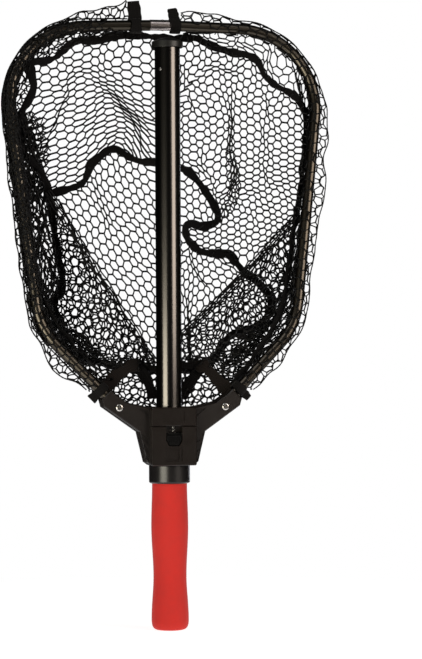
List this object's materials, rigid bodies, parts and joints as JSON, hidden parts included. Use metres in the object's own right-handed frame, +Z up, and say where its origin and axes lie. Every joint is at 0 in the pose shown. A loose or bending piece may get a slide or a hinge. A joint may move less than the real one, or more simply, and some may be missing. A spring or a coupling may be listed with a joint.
{
  "type": "landing net",
  "caption": "Landing net whose hoop and knotless bag slide up the handle tube from a stowed place on the grip's collar, with a thumb-released brake.",
  "frame": {"origin": "middle of the grip's butt face", "axes": "+Z up the handle, the net's mouth faces -Y, +X to the right seen from the mouth"},
  "size_m": [0.3592, 0.1659, 0.6935],
  "materials": {
    "tube_black": "gloss black anodised",
    "grip_red": "matt red foam rubber",
    "collar_black": "satin black moulding",
    "plug_black": "moulded",
    "cap_black": "moulded",
    "rivet_bright": "bright",
    "yoke_black": "glass-filled moulding, fine grain",
    "screw_steel": "plated",
    "cover_black": "satin moulding",
    "catch_gloss": "gloss black moulding",
    "spring_steel": "drawn wire",
    "shoe_nylon": "moulded",
    "pad_rubber": "moulded",
    "bush_acetal": "moulded",
    "hoop_bronze": "dark bronze anodised",
    "splice_bare": "bare, drawn",
    "net_rubber": "rubber-coated knotless netting",
    "tape_black": "woven tape",
    "binding_black": "woven binding"
  },
  "bodies": {
    "handle": {"handle_tube": "tube_black", "grip_sleeve": "grip_red", "grip_collar": "collar_black", "butt_plug": "plug_black", "tube_end_cap": "cap_black", "end_cap_rivet": "rivet_bright"},
    "thumb_catch": {"thumb_catch": "catch_gloss"},
    "brake_shoe": {"brake_shoe": "shoe_nylon", "brake_pad": "pad_rubber"},
    "frame": {"yoke_front_shell": "yoke_black", "yoke_back_shell": "yoke_black", "yoke_shell_screws": "screw_steel", "nameplate_cover": "cover_black", "latch_cover": "cover_black", "catch_spring": "spring_steel", "lower_guide_bush": "bush_acetal", "upper_guide_bush": "bush_acetal", "hoop_tube_right": "hoop_bronze", "hoop_tube_left": "hoop_bronze", "hoop_splice": "splice_bare", "splice_pin": "screw_steel", "socket_screw_right": "screw_steel", "socket_screw_left": "screw_steel", "socket_nut_right": "screw_steel", "socket_nut_left": "screw_steel", "net_bottom_panel": "net_rubber", "net_lower_wall": "net_rubber", "net_upper_wall": "net_rubber", "net_right_wall": "net_rubber", "net_left_wall": "net_rubber", "net_hem_tape": "tape_black", "net_seam_tape": "tape_black", "throat_strap": "tape_black", "net_sleeve_right": "net_rubber", "net_sleeve_left": "net_rubber", "top_binding_right": "binding_black", "top_binding_left": "binding_black", "low_binding_right": "binding_black", "low_binding_left": "binding_black"}
  },
  "joints": [
    {"name": "frame_slide", "type": "slide", "parent": "handle", "child": "frame", "axis": [0, 0, 1], "range_m": [0, 0.368]},
    {"name": "catch_slide", "type": "slide", "parent": "frame", "child": "thumb_catch", "axis": [0, 0, 1], "range_m": [0, 0.008], "stiffness_N_per_m": 300, "springref_m": -0.004, "deforming": ["catch_spring"]},
    {"name": "shoe_release", "type": "slide", "parent": "frame", "child": "brake_shoe", "axis": [0, -1, 0], "range_m": [0, 0.0015]}
  ],
  "couplings": [
    {"joint": "shoe_release", "follows": "catch_slide", "ratio": 0.1875}
  ]
}
